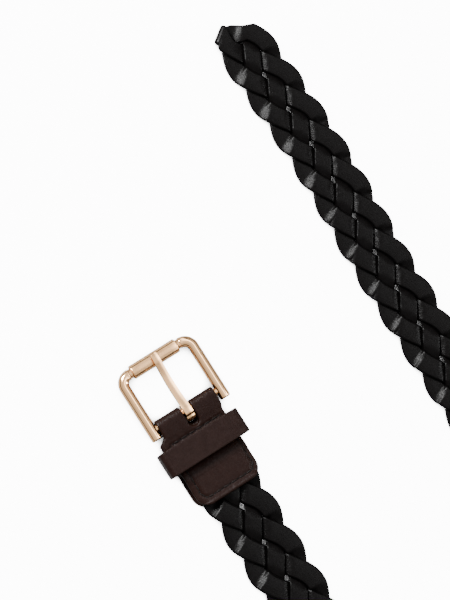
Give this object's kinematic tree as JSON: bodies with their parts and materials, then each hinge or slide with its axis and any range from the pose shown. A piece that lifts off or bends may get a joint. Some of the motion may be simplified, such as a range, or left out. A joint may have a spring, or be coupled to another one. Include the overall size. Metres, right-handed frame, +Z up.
{
  "type": "braided leather belt",
  "caption": "Narrow braided leather belt lying in a U, with a stitched tab, a leather keeper and a rose-gold roller buckle with a prong.",
  "frame": {"origin": "centre of the footprint, at floor height", "axes": "+X along both straight lengths, from the buckle and tip towards the bend; +Y from the buckle's length to the tip's length; +Z up"},
  "size_m": [0.5272, 0.1438, 0.0276],
  "materials": {
    "lace_leather": "smooth, semi-gloss",
    "tab_leather": "fine grain, satin",
    "keeper_leather": "fine grain, satin",
    "frame_metal": "polished rose gold",
    "roller_metal": "polished rose gold",
    "prong_metal": "polished rose gold"
  },
  "bodies": {
    "strap": {"lace_looped": "lace_leather", "lace_left": "lace_leather", "lace_right": "lace_leather", "tab": "tab_leather", "keeper": "keeper_leather"},
    "frame": {"buckle_frame": "frame_metal"},
    "roller": {"roller": "roller_metal"},
    "prong": {"prong": "prong_metal"}
  },
  "joints": [
    {"name": "buckle_hinge", "type": "hinge", "parent": "strap", "child": "frame", "pos_m": [-0.13109, -0.05018, 0.00315], "axis": [0, 1, 0], "range_deg": [-50, 25]},
    {"name": "prong_hinge", "type": "hinge", "parent": "frame", "child": "prong", "pos_m": [-0.13109, -0.05018, 0.00315], "axis": [0, 1, 0], "range_deg": [0, 90]},
    {"name": "roller_spin", "type": "hinge", "parent": "frame", "child": "roller", "pos_m": [-0.15679, -0.05018, 0.00315], "axis": [0, 1, 0], "continuous": true}
  ]
}
